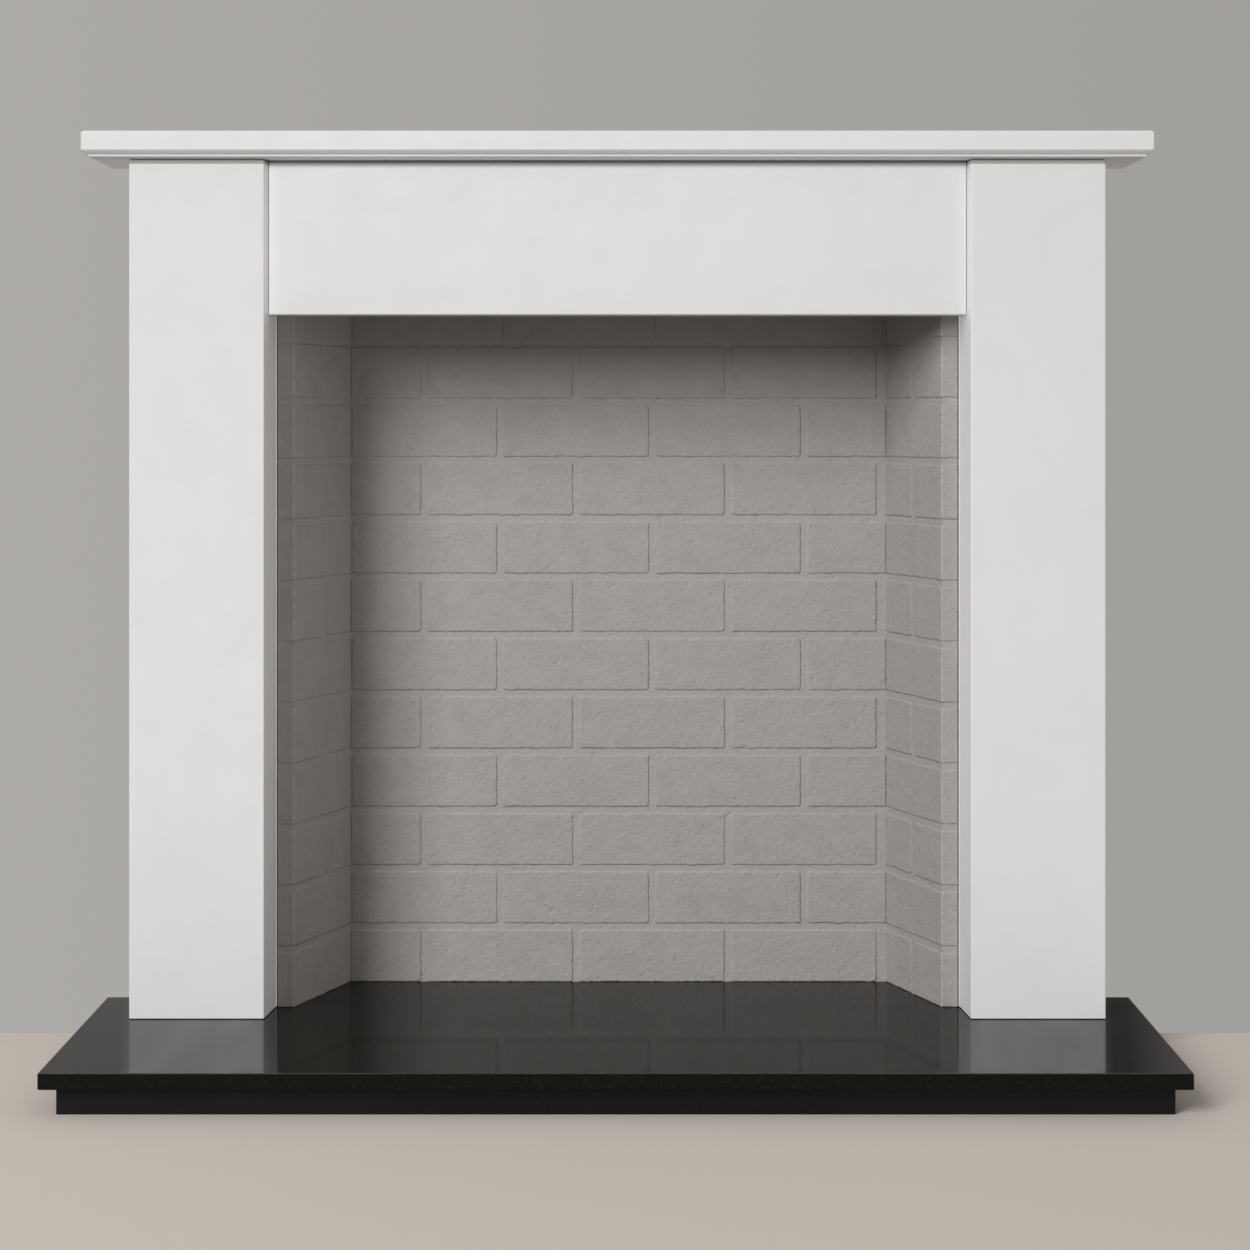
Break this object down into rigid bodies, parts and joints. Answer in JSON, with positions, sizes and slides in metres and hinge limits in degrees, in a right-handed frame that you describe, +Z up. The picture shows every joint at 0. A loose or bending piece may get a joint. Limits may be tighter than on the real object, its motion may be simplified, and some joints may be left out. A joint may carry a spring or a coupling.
{
  "type": "fireplace mantelpiece",
  "caption": "Plain stone fire surround with a moulded shelf and square jambs, on a polished stone hearth, round a brick-effect fire chamber.",
  "frame": {"origin": "on the floor at the middle of the width, in the plane of the wall that the surround stands against", "axes": "+X to the viewer's right, +Y back into the wall, +Z up; the front faces -Y"},
  "size_m": [1.382, 0.496, 1.202],
  "materials": {
    "white_stone": "fine white stone, honed, satin",
    "black_granite": "black granite, polished",
    "black_riser": "black granite, honed edge strip",
    "cast_brick": "warm grey cast brick effect, matt and pitted",
    "cast_board": "plain grey cast board, matt"
  },
  "bodies": {
    "root": {"hearth_plinth": "black_riser", "hearth_slab": "black_granite", "left_jamb": "white_stone", "right_jamb": "white_stone", "frieze": "white_stone", "mantel_shelf": "white_stone", "chamber_back": "cast_brick", "chamber_left": "cast_brick", "chamber_right": "cast_brick", "chamber_top": "cast_board"}
  },
  "joints": []
}
